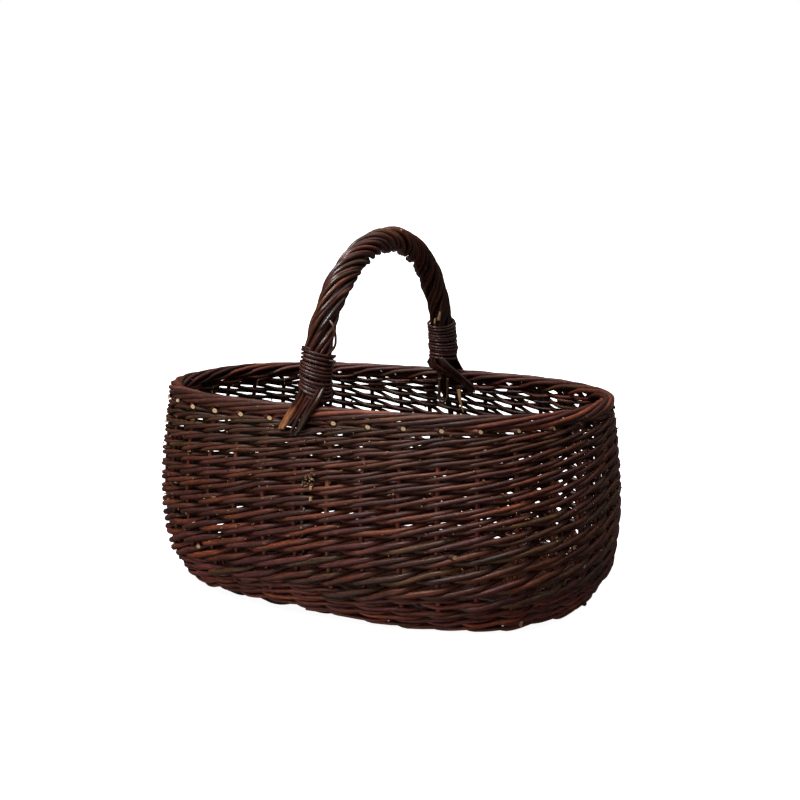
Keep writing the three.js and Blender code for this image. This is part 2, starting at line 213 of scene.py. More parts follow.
# sweeps a round section along a path, and keeps what the bark needs at each point
def addRod(bundle, path, radius, facing, colour, buds=(), sides=8,
           cutSlope=0.0, cutSide=None, innerShade=0.0):
    count = len(path)
    along = lengthAlong(path)
    tangent = unit(np.gradient(path, axis=0))
    facing = np.asarray(facing, float)
    normal = unit(facing - (facing * tangent).sum(1, keepdims=True) * tangent)
    side = np.cross(tangent, normal)
    angle = np.arange(sides) * 2 * np.pi / sides
    radius = np.broadcast_to(radius, (count,))
    spokes = normal[:, None] * np.cos(angle)[:, None] + side[:, None] * np.sin(angle)[:, None]
    offset = spokes * radius[:, None, None]
    verts = path[:, None] + offset
    if cutSide is not None:  # a slanting cut
        verts[-1] += tangent[-1] * (offset[-1] @ cutSide)[:, None] * cutSlope
    start = sum(len(block) for block in bundle["verts"])
    index = start + np.arange(count * sides).reshape(count, sides)
    turned = np.roll(index, -1, 1)
    quads = np.stack([index[:-1], turned[:-1], turned[1:], index[1:]], -1).reshape(-1, 4)
    grainStart = rng.uniform() * rodForm["grainShift"]
    grain = np.stack(np.broadcast_arrays(along[:, None] + grainStart, np.cos(angle), np.sin(angle)), -1)
    scar = np.zeros((count, sides))
    for bud in buds:
        where = rng.uniform(0, 2 * np.pi)
        apart = np.abs((angle - where + np.pi) % (2 * np.pi) - np.pi)
        lengthwise = (along[:, None] - bud) / rodForm["scarLength"]
        scar += np.exp(-(lengthwise**2) - (apart / rodForm["scarWidth"]) ** 2)
    shade = np.broadcast_to(colour, (count, 3))
    # painted shade: the side of the rod that faces into the basket is darkened here
    inward = np.sqrt(np.clip(-np.cos(angle), 0, 1))
    shadeFactor = 1 - np.broadcast_to(innerShade, (count,))[:, None] * inward
    bundle["verts"].append(verts.reshape(-1, 3))
    bundle["grain"].append(grain.reshape(-1, 3))
    bundle["colour"].append((shade[:, None] * shadeFactor[:, :, None]).reshape(-1, 3))
    bundle["scar"].append(scar.reshape(-1))
    bundle["quads"].append(quads)
    u = bakeMap["bark"] * along / along[-1]
    v = np.arange(sides + 1) / sides
    uv = np.stack(np.meshgrid(u, v, indexing="ij"), -1)
    corners = np.stack([uv[:-1, :-1], uv[:-1, 1:], uv[1:, 1:], uv[1:, :-1]], 2)
    bundle["quadUv"].append(corners.reshape(-1, 4, 2))
    addCut(bundle, verts[0][::-1], shade[0], bakeMap["startCut"])
    addCut(bundle, verts[-1], shade[-1], bakeMap["endCut"])


# the cut wood at a rod's end. Its scar value runs from 0 at the pith to 1 at the bark
def addCut(bundle, ring, shade, place):
    sides = len(ring)
    start = sum(len(block) for block in bundle["verts"])
    fan = np.vstack([ring, ring.mean(0)])
    bundle["verts"].append(fan)
    bundle["grain"].append(fan)
    bundle["colour"].append(np.repeat(shade[None], sides + 1, 0))
    bundle["scar"].append(np.append(np.ones(sides), 0.0))
    step = np.arange(sides)
    tris = np.stack([np.full(sides, sides), step, (step + 1) % sides], 1)
    angle = step * 2 * np.pi / sides
    u = place + bakeMap["cutLength"] * (1 + np.cos(angle))
    v = 0.5 + bakeMap["cutWidth"] * np.sin(angle)
    flat = np.vstack([np.stack([u, v], 1), [place + bakeMap["cutLength"], 0.5]])
    bundle["tris"].append(start + tris)
    bundle["triUv"].append(flat[tris])


def addObject(name, data):
    item = bpy.data.objects.new(name, data)
    bpy.context.scene.collection.objects.link(item)
    return item


# one mesh from a bundle of rods. Its bake map gives each rod a strip of its own
def makePiece(name, bundle, bark, nodes=()):
    verts = np.vstack(bundle["verts"]) * mm
    quads = np.vstack(bundle["quads"])
    tris = np.vstack(bundle["tris"])
    mesh = bpy.data.meshes.new(name)
    mesh.from_pydata(verts.tolist(), [], quads.tolist() + tris.tolist())
    rods = len(bundle["quads"])
    blocks = list(enumerate(bundle["quadUv"]))
    blocks += [(end // 2, block) for end, block in enumerate(bundle["triUv"])]
    strips = []
    for row, block in blocks:
        shift = [0, (row + bakeMap["edge"]) / rods]
        strips.append(block.reshape(-1, 2) * [1, bakeMap["height"] / rods] + shift)
    layer = mesh.uv_layers.new(name="OFBake")
    layer.uv.foreach_set("vector", np.vstack(strips).astype(np.float32).ravel())
    colour = np.vstack(bundle["colour"])
    values = (("grain", "FLOAT_VECTOR", "vector", np.vstack(bundle["grain"])),
              ("barkColour", "FLOAT_COLOR", "color", np.hstack([colour, np.ones((len(colour), 1))])),
              ("scar", "FLOAT", "value", np.concatenate(bundle["scar"])))
    for label, kind, key, numbers in values:
        layer = mesh.attributes.new(label, kind, "POINT")
        layer.data.foreach_set(key, numbers.astype(np.float32).ravel())
    mesh.materials.append(bark)
    mesh.materials.append(cutWood)
    isCut = np.arange(len(mesh.polygons)) >= len(quads)
    mesh.polygons.foreach_set("material_index", isCut.astype(np.int32))
    mesh.polygons.foreach_set("use_smooth", ~isCut)
    mesh.update()
    piece = addObject(name, mesh)
    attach(piece, "root")
    if nodes:
        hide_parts(*nodes)


# a smooth curve through points, with so many steps between two of them
def smoothPath(points, steps):
    points = np.asarray(points, float)
    ends = np.vstack([2 * points[0] - points[1], points, 2 * points[-1] - points[-2]])
    t = np.linspace(0, 1, steps, endpoint=False)[:, None]
    spans = []
    for i in range(1, len(ends) - 2):
        a, b, c, d = ends[i - 1 : i + 3]
        square = 2 * a - 5 * b + 4 * c - d
        cube = 3 * b - a - 3 * c + d
        spans.append(0.5 * (2 * b + (c - a) * t + square * t**2 + cube * t**3))
    return np.vstack([*spans, points[-1:]])


# materials

def newMaterial(name):
    material = bpy.data.materials.new(name)
    material.use_nodes = True
    tree = material.node_tree
    return material, tree, tree.nodes["Principled BSDF"]


def attributeNode(tree, name):
    node = tree.nodes.new("ShaderNodeAttribute")
    node.attribute_name = name
    return node


def rampNode(tree, value, stops):
    ramp = tree.nodes.new("ShaderNodeValToRGB")
    while len(ramp.color_ramp.elements) < len(stops):
        ramp.color_ramp.elements.new(0.5)
    for element, (place, colour) in zip(ramp.color_ramp.elements, stops):
        element.position = place
        element.color = (*colour, 1)
    tree.links.new(value, ramp.inputs["Fac"])
    return ramp.outputs["Color"]


def greyRamp(tree, value, stops):
    return rampNode(tree, value, [(place, (grey,) * 3) for place, grey in stops])


def mixNode(tree, kind, factor, first, second):
    mix = tree.nodes.new("ShaderNodeMix")
    mix.data_type = "RGBA"
    mix.blend_type = kind
    for index, value in ((0, factor), (6, first), (7, second)):
        if isinstance(value, bpy.types.NodeSocket):
            tree.links.new(value, mix.inputs[index])
        else:
            mix.inputs[index].default_value = value
    return mix.outputs[2]


# noise laid along a rod. Grain holds the distance along it, and the way round as a cosine and a sine
def grainNoise(tree, alongScale, roundScale, detail=3.0, cells=False):
    grain = attributeNode(tree, "grain")
    scale = tree.nodes.new("ShaderNodeVectorMath")
    scale.operation = "MULTIPLY"
    scale.inputs[1].default_value = (alongScale, roundScale, roundScale)
    tree.links.new(grain.outputs["Vector"], scale.inputs[0])
    texture = tree.nodes.new("ShaderNodeTexVoronoi" if cells else "ShaderNodeTexNoise")
    texture.inputs["Scale"].default_value = 1.0
    tree.links.new(scale.outputs["Vector"], texture.inputs["Vector"])
    if cells:
        return texture.outputs["Distance"]
    texture.inputs["Detail"].default_value = detail
    return texture.outputs["Fac"]


barkLook = {
    # scale of each pattern along a rod, per mm, and round it
    "patch": (0.03, 0.7),
    "streak": (0.05, 4.6),
    "mottle": (0.17, 1.5),
    "moss": (0.011, 0.5),
    "speck": (0.55, 2.6),
    # tones where a pattern is low and high
    "patchTones": ((0.3, (0.5, 0.48, 0.52)), (0.7, (1.45, 1.4, 1.24))),
    "streakTones": ((0.36, (0.36, 0.33, 0.34)), (0.62, (1.4, 1.34, 1.28))),
    "mottleTones": ((0.34, (0.62, 0.6, 0.6)), (0.66, (1.4, 1.38, 1.34))),
    "toneStrength": 0.8,  # of streaks and mottling
    # and how much of a colour shows there
    "mossCover": ((0.66, 0), (0.78, 0.3)),
    "speckCover": ((0.09, 0.45), (0.16, 0)),
    "scarCover": ((0.35, 0), (0.7, 0.75)),
    "mossColour": (84, 67, 38),
    "speckColour": (150, 122, 96),
    "scarColour": (142, 104, 70),
    "rough": ((0.3, 0.93), (0.7, 0.72)),  # less the gloss
    "bump": 0.85,
    "bumpDepth": 0.4,
}


def makeBark(name, warmth=1.0, gloss=0.42):
    material, tree, shader = newMaterial(name)
    colour = attributeNode(tree, "barkColour").outputs["Color"]
    darkPatch, (lightPlace, (red, green, blue)) = barkLook["patchTones"]
    patch = grainNoise(tree, *barkLook["patch"])
    patchTone = rampNode(tree, patch, (darkPatch, (lightPlace, (red * warmth, green, blue))))
    colour = mixNode(tree, "MULTIPLY", 1.0, colour, patchTone)
    streak = grainNoise(tree, *barkLook["streak"], detail=5.0)
    mottle = grainNoise(tree, *barkLook["mottle"], detail=2.0)
    for tones, pattern in (("streakTones", streak), ("mottleTones", mottle)):
        tone = rampNode(tree, pattern, barkLook[tones])
        colour = mixNode(tree, "MULTIPLY", barkLook["toneStrength"], colour, tone)
    moss = grainNoise(tree, *barkLook["moss"])
    speck = grainNoise(tree, *barkLook["speck"], cells=True)
    scar = attributeNode(tree, "scar").outputs["Fac"]
    for cover, pattern in (("moss", moss), ("speck", speck), ("scar", scar)):
        mask = greyRamp(tree, pattern, barkLook[cover + "Cover"])
        colour = mixNode(tree, "MIX", mask, colour, (*linear(barkLook[cover + "Colour"]), 1))
    tree.links.new(colour, shader.inputs["Base Color"])
    rough = greyRamp(tree, streak, [(place, value - gloss) for place, value in barkLook["rough"]])
    tree.links.new(rough, shader.inputs["Roughness"])
    shader.inputs["Specular IOR Level"].default_value = gloss
    bump = tree.nodes.new("ShaderNodeBump")
    bump.inputs["Strength"].default_value = barkLook["bump"]
    bump.inputs["Distance"].default_value = barkLook["bumpDepth"] * mm
    tree.links.new(streak, bump.inputs["Height"])
    tree.links.new(bump.outputs["Normal"], shader.inputs["Normal"])
    return material


cutLook = {
    # from the pith out to the bark
    "rings": ((0.0, (150, 98, 62)), (0.14, (172, 122, 82)), (0.24, (238, 208, 164)),
              (0.86, (224, 184, 136)), (0.95, (92, 58, 40))),
    "rough": 0.75,
}


def makeCutWood():
    material, tree, shader = newMaterial("cutWillow")
    ring = attributeNode(tree, "scar").outputs["Fac"]
    colour = rampNode(tree, ring, [(place, linear(tone)) for place, tone in cutLook["rings"]])
    tree.links.new(colour, shader.inputs["Base Color"])
    shader.inputs["Roughness"].default_value = cutLook["rough"]
    return material


cutWood = makeCutWood()
stakeBark = makeBark("stakeBark", 1.05)
weaverBark = makeBark("weaverBark")
handleBark = makeBark("handleBark", 1.0, 0.62)
baseBark = makeBark("baseBark", 0.95, 0.12)
print("materials made")

# stakes, whose tops are bent over along the rim and form the border
stakes = {
    "foot": 22,  # length in the base
    # radius at shares of the length
    "radius": ((0, 2.8), (0.2, 2.6), (0.36, 2.4), (0.46, 2.3), (0.9, 2.3), (1, 2.05)),
    "courseBottom": 17.2,
    "stand": 2.3,  # outward of the line of the wall
    "budSpacing": 40,
    "facing": (0.7, 0.25),  # outward and up
    # the stakes are darker in the base and 2.3 times lighter where they stand between the weavers: painted
    # light that offsets the shade of that recess
    "tone": ((10, 0.45), (24, 2.3), (187, 2.3), (193, 1.0)),  # lightness at heights
    "borderTones": (0.62, 1.4, 0.9, 2.1, 0.7, 1.15, 1.0),  # of the bent tops in turn
    "toneChange": 4,  # height over which the border's tones set in
    "cutSlope": 0.9,
    "cutUp": 0.5,  # the cut faces outward and this much up
}
border = {
    "out": -15,  # from the belly line to the middle of the border
    "radius": 5.5,  # from there to the middle of a rod
    "uneven": 0.25,
    # the lay, in stakes on and degrees round the border: outside, over the top and down inside
    "first": 0.25,
    "start": -62,
    "lay": 50,
    "stakes": 4.75,
    "step": 0.475,
    # under the border to the cut end: stakes on, degrees round and distance from its middle
    "tail": ((0.4, 226, 5.7), (0.72, 276, 6.2), (0.9, 306, 7.8), (1.06, 318, 9.6)),
    "unevenTail": (-0.6, 1.6),  # how much further a cut end stands out
    "tailOn": 0.02,  # stakes further on, for each of these millimetres
}


def stakePath(k):
    share = stakeShare(k)
    footOut = wallOut(wall["footHeight"])
    rows = [(share, out, wall["footHeight"]) for out in (footOut - stakes["foot"], footOut)]
    for z in np.linspace(stakes["courseBottom"], wall["weaveTop"], 10):
        rows.append((share, wallOut(z) + stakes["stand"], z))
    lay = []
    for on in np.arange(0, border["stakes"] + 0.01, border["step"]):
        radius = border["radius"] + rng.normal(0, border["uneven"])
        lay.append((border["first"] + on, border["start"] + border["lay"] * on, radius))
    longer = rng.uniform(*border["unevenTail"])
    tail = np.array(border["tail"]) + [border["first"] + border["stakes"], 0, 0]
    tail[-1] += [border["tailOn"] * longer, 0, longer]
    for on, turn, radius in (*lay, *tail):
        out = border["out"] + radius * math.cos(math.radians(turn))
        z = wall["rimHeight"] + radius * math.sin(math.radians(turn))
        rows.append((share + on / stakeCount, out, z))
    shares, outs, heights = np.transpose(rows)
    return onOval(belly, shares, outs, heights), shares


def makeStakes():
    for k in range(stakeCount):
        points, shares = stakePath(k)
        path = smoothPath(points, 5)
        along, height = lengthAlong(path), path[:, 2]
        places = np.linspace(0, len(shares) - 1, len(path))
        share = np.interp(places, np.arange(len(shares)), shares)
        facing = onOval(belly, share, *stakes["facing"]) - onOval(belly, share, 0, 0)
        radius, buds = rodRadius(path, 1.0, 1.0, stakes["budSpacing"])
        radius *= tableAt(stakes["radius"], along / along[-1])
        outward = onOval(belly, shares[-1], 1, 0) - onOval(belly, shares[-1], 0, 0)
        cutSide = -unit(outward + [0, 0, stakes["cutUp"]])
        borderTone = stakes["borderTones"][k % len(stakes["borderTones"])]
        bent = np.clip((height - wall["weaveTop"]) / stakes["toneChange"], 0, 1)
        # painted light along the wall from the tone table, with the border's own tones above it
        lightness = tableAt(stakes["tone"], height) * (1 + bent * (borderTone - 1))
        shade = barkShade(path, lightness[:, None])
        bundle = newBundle()
        addRod(bundle, path, radius, facing, shade, buds, sides=10,
               cutSlope=stakes["cutSlope"], cutSide=cutSide, innerShade=insideShade(height))
        makePiece(f"willowStake_{k + 1:02d}", bundle, stakeBark, [f"stake_{k + 1:02d}"])


makeStakes()
print("stakes and border made")

# side weavers: rods that climb the whole wall, outside two stakes and inside one
weavers = {
    "count": 63,
    "stroke": 3,
    "bottom": 29,  # heights
    "top": 195,
    "stakes": 19.0,  # passed at a full climb
    "runIn": 3,  # stakes passed at a lesser climb, at each end
    "runInClimb": 0.35,
    "runInEase": 0.5,  # stakes more until the climb is full
    "topClimb": 0.54,  # of that at the bottom
    "placeStep": 0.05,  # in stakes, for working out the climb
    "close": 0.94,  # rod widths between the two front rods at a stake
    # radius at shares of the length
    "size": ((0, 3.35), (0.25, 2.8), (0.5, 2.32), (0.75, 2.05), (1, 2.0)),
    "lift": 3.4,  # from the line of the stakes to a rod's near side
    "unevenLift": 0.25,
    "stepsPerStake": 8,
    "jitter": 0.3,
    "budSpacing": 45,
    "sway": 1.0,  # rows wander up and down by this much
    "legHold": 0.32,  # share of the way to the next stake, to clear the handle's leg
    "tipDark": np.array([0.3, 0.14, 0.26]),  # thin tips are darker and more olive
}
frontOrder = np.array([0, -1, 1])  # at a stake: the rod inside, the lower one in front and the upper one

# a slow wander over the wall: waves round the basket, and how they turn with each millimetre up
swayWaves = ((7, 0.05), (11, -0.07), (17, 0.11), (23, -0.16), (29, 0.2), (5, 0.26))
swaySum = 2.4  # brings the waves together to about 1
swayPhases = rng.uniform(0, 2 * np.pi, len(swayWaves))


def sway(share, level):
    wander = 0
    for (waves, rise), phase in zip(swayWaves, swayPhases):
        wander += np.sin(2 * np.pi * waves * share + rise * level + phase)
    return wander / swaySum


def easeBetween(x):
    x = np.clip(x, 0, 1)
    return x * x * (3 - 2 * x)


# values a part of the way from one stake to the next
def between(values, cell, part):
    return values[cell] * (1 - part) + values[cell + 1] * part


# places along a weaver, in stakes from where its full climb starts
weaverPlaces = np.arange(-weavers["runIn"], weavers["stakes"] + weavers["runIn"], weavers["placeStep"])


# distance up the wall at each place, and how fast it grows
def weaverClimb():
    full = weavers["stakes"]
    rate = 1 + (weavers["topClimb"] - 1) * np.clip(weaverPlaces / full, 0, 1)
    ends = np.minimum(weaverPlaces + weavers["runIn"], full + weavers["runIn"] - weaverPlaces)
    ease = easeBetween(ends / (weavers["runIn"] + weavers["runInEase"]))
    rate *= weavers["runInClimb"] + (1 - weavers["runInClimb"]) * ease
    low, high = climbTo(weavers["bottom"]), climbTo(weavers["top"])
    levels = np.concatenate([[0], np.cumsum(rate[:-1])])
    scale = (high - low) / levels[-1]
    return low + levels * scale, rate * scale / weavers["placeStep"]


weaverLevels, weaverRates = weaverClimb()


def makeSideWeavers():
    bundle = newBundle()
    stroke = weavers["stroke"]
    apart = stakeCount / weavers["count"]
    for i in range(weavers["count"]):
        begin = i * apart
        inside = i % stroke  # it passes inside at stakes of this count
        first = inside + stroke * math.floor((begin - inside) / stroke)
        last = inside + stroke * math.ceil((begin + weavers["stakes"] - inside) / stroke)
        stake = np.arange(first, last + 1)
        place = stake - begin
        phase = (stake - inside) % stroke
        level = np.interp(place, weaverPlaces, weaverLevels)
        row = np.interp(place, weaverPlaces, weaverRates) * apart * stroke
        size = tableAt(weavers["size"], place / weavers["stakes"])
        spread = np.maximum(row / stroke, 2 * size * weavers["close"]) - row / stroke
        level += spread / 2 * frontOrder[phase]
        level += rng.normal(0, weavers["jitter"], len(stake))
        level += weavers["sway"] * sway(stakeShare(stake), level)
        lift = np.where(phase == 0, -1.0, 1.0) * (weavers["lift"] + size)
        lift += rng.normal(0, weavers["unevenLift"], len(stake))
        t = np.linspace(0, len(stake) - 1, (len(stake) - 1) * weavers["stepsPerStake"] + 1)
        cell = np.minimum(t.astype(int), len(stake) - 2)
        part = t - cell
        hold = np.where(stake[cell] % (stakeCount // 2) == 0, weavers["legHold"], 0.0)
        liftAt = between(lift, cell, easeBetween((part - hold) / (1 - hold)))
        slopes = np.gradient(level)
        bend = part * (1 - part) * ((1 - part) * slopes[cell] - part * slopes[cell + 1])
        share = stakeShare(first + t)
        z = climb(between(level, cell, easeBetween(part)) + bend)
        path = wallPoint(share, z, liftAt)
        radius, buds = rodRadius(path, 1.0, 1.0, weavers["budSpacing"])
        radius *= np.interp(t, np.arange(len(stake)), size)
        tip = np.linspace(0, 1, len(path))[:, None] ** 2
        shade = barkShade(path) * (1 - tip * weavers["tipDark"])
        addRod(bundle, path, radius, wallFacing(share, z), shade, buds, innerShade=insideShade(z))
    courses = [f"side_course_{row}" for row in range(1, 7)]
    makePiece("sideWeavers", bundle, weaverBark, courses)


makeSideWeavers()
print("side weavers made")

# finer rows below and above: closed rounds of thin rods, which pass inside in turn. From and to are
# heights, lift is from the stakes to a rod's near side, slant is a share of the row, and sags is 1
# where the rows follow the foot
finerRows = {
    "upsett": {
        "from": 9.5, "to": 39, "rows": 4, "rods": 3, "rod": 2.05, "lift": 2.6,
        # painted light: the upsett rods are made 2.2 times lighter in place of the light the floor throws up
        # onto this downward-facing band
        "slant": 0.3, "sags": 1, "lightness": 2.2, "nodes": ["upsett_wale"],
    },
    "topWale": {
        "from": 191.5, "to": 199, "rows": 3, "rods": 1, "rod": 1.85, "lift": 2.4,
        "slant": 0.1, "sags": 0, "lightness": 1, "nodes": ["top_wale"],
    },
    "footRounds": {  # these close the seam between wall and base
        "from": 9.5, "to": 19, "rows": 2, "rods": 1, "rod": 2.3, "lift": -1.7,
        "slant": 0.1, "sags": 1, "lightness": 0.7, "nodes": [],
    },
}
roundForm = {
    "steps": 7,  # between two stakes
    "overlap": 2,  # stakes that a rod runs past its own start
    "unevenLift": 0.4,
    "unevenLevel": 0.5,
    "climb": 0.3,  # below its row at the start and above at the end, in rods
    "taper": (1.1, 0.9),
    "budSpacing": 45,
}
# how far the lowest row sags towards the floor, at stakes
footSag = (
    (0, 0), (12.3, 1), (13.9, 0), (15, -4), (17.3, -6.5), (19, -1),
    (20.2, 5), (21.9, 9), (23.8, 7), (25, 0), (28, -0.7), (36, 0),
)


def makeRounds(name, rounds):
    bundle = newBundle()
    low, high = climbTo(rounds["from"]), climbTo(rounds["to"])
    pitch = (high - low) / rounds["rows"]
    passes = stakeCount + roundForm["overlap"]
    for rod in range(rounds["rows"] * rounds["rods"]):
        row, mate = divmod(rod, rounds["rods"])
        first = rng.integers(stakeCount)
        stake = first + np.arange(passes + 1)
        phase = (stake + row + mate) % weavers["stroke"]
        lift = np.where(phase == 0, -1.0, 1.0) * (rounds["lift"] + rounds["rod"])
        lift += rng.normal(0, roundForm["unevenLift"], len(stake))
        level = low + pitch * (row + 0.5 + rounds["slant"] * frontOrder[phase])
        level += rng.normal(0, roundForm["unevenLevel"], len(stake))
        level += np.linspace(-1, 1, len(stake)) * roundForm["climb"] * pitch / rounds["rods"]
        sag = tableAt(footSag, stake % stakeCount) * rounds["sags"]
        level -= sag * (1 - (row + 0.5) / rounds["rows"])
        t = np.linspace(0, passes, passes * roundForm["steps"] + 1)
        cell = np.minimum(t.astype(int), passes - 1)
        ease = easeBetween(t - cell)
        z = climb(np.maximum(between(level, cell, ease), 0))
        share = stakeShare(first + t)
        path = wallPoint(share, z, between(lift, cell, ease))
        butt, tip = (rounds["rod"] * size for size in roundForm["taper"])
        radius, buds = rodRadius(path, butt, tip, roundForm["budSpacing"])
        shade = barkShade(path, rounds["lightness"])
        addRod(bundle, path, radius, wallFacing(share, z), shade, buds, sides=7, innerShade=insideShade(z))
    makePiece(name, bundle, weaverBark, rounds["nodes"])


makeRounds("upsettRows", finerRows["upsett"])
makeRounds("topRows", finerRows["topWale"])
print("finer rows made")

# base: sticks, and pairs of thin rods that pass over and under them
base = {
    "halfLength": 209,
    "halfWidth": 128,
    "middle": 10,
    "rod": 2.2,
    "taper": 0.92,
    "nestle": 0.9,  # of a rod's radius, from the sticks to its middle
    "uneven": 0.2,
    "pitch": 3.9,
    "rounds": 31,
    "turnedUp": 2,  # rounds that climb the foot of the wall
    "turnUp": 2.6,
    "cornerSwell": 0.28,  # stouter rods at the oval's corners, where rounds lie further apart
    # painted shade: the base rods are darkened to stand in for the shade inside the basket
    "lightness": 0.32,
    "budSpacing": 60,
    "step": 5,  # along a round
    "moreSteps": 24,  # for the short rounds in the middle
    "spokes": 20,  # ends of the sticks
    "stick": 4.4,
    "longTaper": 0.9,
    "shortSize": 1.1,
    "longSticks": ((0, 10, 0), (1, 9, 7.2), (19, 11, -7.2)),  # a stick's two spokes, and its place across
    "slath": 0.88,  # the long sticks lie side by side in this much of the innermost round
    "stickBuds": 70,
}
upward = (0, 0, 1)


def baseRound(i):
    inset = base["pitch"] * i
    return ovalTable(base["halfLength"] - inset, base["halfWidth"] - inset, 720)


def makeBaseWeave(name, sign, node):
    bundle = newBundle()
    rise = base["stick"] + base["rod"] * base["nestle"]
    for i in range(-base["turnedUp"], base["rounds"]):
        table = baseRound(i)
        count = int(table["girth"] / base["step"]) + base["moreSteps"]
        share = rng.uniform() + np.linspace(0, 1.0, count)
        over = sign * rise * np.cos(np.pi * base["spokes"] * share)
        z = base["middle"] + base["turnUp"] * max(0, -i) + over
        path = onOval(table, share, rng.normal(0, base["uneven"]), z)
        radius, buds = rodRadius(path, base["rod"], base["rod"] * base["taper"], base["budSpacing"])
        turn = np.arctan2(path[:, 1] / base["halfWidth"], path[:, 0] / base["halfLength"])
        radius *= 1 + base["cornerSwell"] * np.sin(2 * turn) ** 2
        addRod(bundle, path, radius, upward, barkShade(path, base["lightness"]), buds, sides=6)
    makePiece(name, bundle, baseBark, [node])


def makeBaseSticks():
    spokes, middle = base["spokes"], base["middle"]
    rounds = [baseRound(i) for i in range(base["rounds"])]
    spoke = [np.array([onOval(table, m / spokes, 0, middle) for table in rounds]) for m in range(spokes)]
    longSticks = newBundle()
    for right, left, y in base["longSticks"]:
        slath = [[spoke[m][-1][0] * base["slath"], y, middle] for m in (right, left)]
        path = smoothPath(np.vstack([spoke[right][:-3:3], slath, spoke[left][:-3:3][::-1]]), 4)
        radius, buds = rodRadius(path, base["stick"], base["stick"] * base["longTaper"], base["stickBuds"])
        addRod(longSticks, path, radius, upward, barkShade(path), buds)
    longNodes = [f"base_stick_long_{n}" for n in (1, 2)]
    makePiece("longBaseSticks", longSticks, baseBark, longNodes)
    shortSticks = newBundle()
    for m in range(2, 9):
        path = smoothPath(np.vstack([spoke[m][::3], spoke[spokes - m][::3][::-1]]), 3)
        size = base["stick"] * base["shortSize"]
        radius, buds = rodRadius(path, size, size, base["stickBuds"])
        addRod(shortSticks, path, radius, upward, barkShade(path), buds)
    shortNodes = [f"base_stick_short_{n}" for n in (1, 2, 3)]
    makePiece("shortBaseSticks", shortSticks, baseBark, shortNodes)


makeBaseWeave("baseWeaveUpper", 1, "base_weave_upper")
makeBaseWeave("baseWeaveLower", -1, "base_weave_lower")
makeBaseSticks()
print("base made")

# handle: a bow, rods that wind round it, and a thin rod bound round them above each foot
handle = {
    "halfWidth": 134,  # to the middle of the bow
    "spring": 225,
    "top": 362.5,
    "lean": 5,  # of its top, along the basket
    "bow": 8.5,
    "bowTone": 0.8,
    "leg": 3.2,
    "legHeights": (60, 165),  # where a leg follows the wall
    "kneeHeights": (196, 210),  # and where it stands upright above that
    "kneeInset": 27.9,  # from the belly line
    "legSizes": (0.6, 1, 1, 1, 1, 1, 1.2, 1.8),  # from its foot up, in radii of the leg
    "rodsPerHalf": 6,
    "rod": 2.45,
    "stoutness": (0.8, 1.2),
    "taper": 0.9,
    "nestle": 0.92,  # of a rod's radius, from the bow to its middle
    "budSpacing": 45,
    "turns": 3.5,
    "loosening": 0.3,  # of the twist at the feet
    "stepsPerTurn": 26,
    "wander": 0.2,  # of a rod's turn round the bow, in radians
    "heave": 0.8,  # of its distance from the bow
    # lightness at shares of a rod's length: lighter at the top of the arch, and the end inside the other foot
    # is painted shade
    "tone": ((0, 0.7), (0.08, 0.7), (0.15, 0.95), (0.35, 1.0),
             (0.5, 1.4), (0.65, 1.0), (0.86, 0.9), (0.93, 0.5)),
}
archRise = handle["top"] - handle["spring"]
xAxis = np.array([1.0, 0, 0])
halfTurn = np.array([-1.0, -1, 1])


def archPoint(angle):
    y = -handle["halfWidth"] * np.cos(angle)
    z = handle["spring"] + archRise * np.sin(angle)
    return np.stack([np.zeros_like(y), y, z], -1)


# the handle leans along the basket towards its top
def leaned(path):
    rise = np.clip((path[:, 2] - handle["spring"]) / archRise, 0, 1)
    return path + handle["lean"] * rise[:, None] ** 2 * xAxis


# direction from the bow's middle at an angle of the arch and a turn round the bow
def roundBow(angle, turn):
    along = [np.zeros_like(angle), handle["halfWidth"] * np.sin(angle), archRise * np.cos(angle)]
    outward = np.cross(xAxis, unit(np.stack(along, -1)))
    return outward * np.cos(turn)[:, None] + xAxis * np.sin(turn)[:, None]


def makeBow():
    halfWidth = wall["width"] / 2
    leg = [(0, -halfWidth - wallOut(z), z) for z in np.linspace(*handle["legHeights"], 6)]
    leg += [(0, handle["kneeInset"] - halfWidth, z) for z in handle["kneeHeights"]]
    front = np.array(leg)
    back = front[::-1] * [1, -1, 1]
    legSizes = [handle["leg"] * size for size in handle["legSizes"]]
    arch = archPoint(np.linspace(0, np.pi, 25))
    sizes = legSizes + [handle["bow"]] * len(arch) + legSizes[::-1]
    path = smoothPath(np.vstack([front, arch, back]), 4)
    size = np.interp(np.linspace(0, 1, len(path)), np.linspace(0, 1, len(sizes)), sizes)
    bundle = newBundle()
    addRod(bundle, leaned(path), size, xAxis, barkShade(path, handle["bowTone"]), sides=14)
    makePiece("handleBow", bundle, handleBark, ["handle_bow"])


# rods of half a start outside the front foot and end inside the back one. Half b goes the other way
footing = {
    "outside": ((-16.5, -155.4, 187.5), (-6.6, -154.2, 204), (1.2, -146.6, 221)),  # in the middle of the rods
    "outsidePitch": 4.5,
    "unevenEnds": 5,  # of the rods outside
    "unevenDepth": 1.1,
    "tones": (1.2, 1.25, 0.85, 0.65, 0.8, 0.7),
    "toneLength": 55,
    "insideStarts": (-11.5, -8, -4.2, 3.6, 6.9, 10.2),
    "insideMiddle": (0.55, 128.5, 205),  # the first is a share of the way along
    "insideEnd": (39, 134.5, 189.5),
    "insideTop": (121.3, 221),
    "insidePitch": 1.2,
    "unevenInside": 2,
    # size at lengths from the start, and from the end
    "startSize": ((0, 0.86), (38, 0.9), (62, 1)),
    "endSize": ((0, 0.62), (45, 1)),
    "peeledFeet": 2,
    "peeled": 26,  # length of bare wood there
    "peelEdge": 8,
    "peeledColour": (186, 122, 78),
    "trim": 3,  # steps of the winding that give way to a foot
}


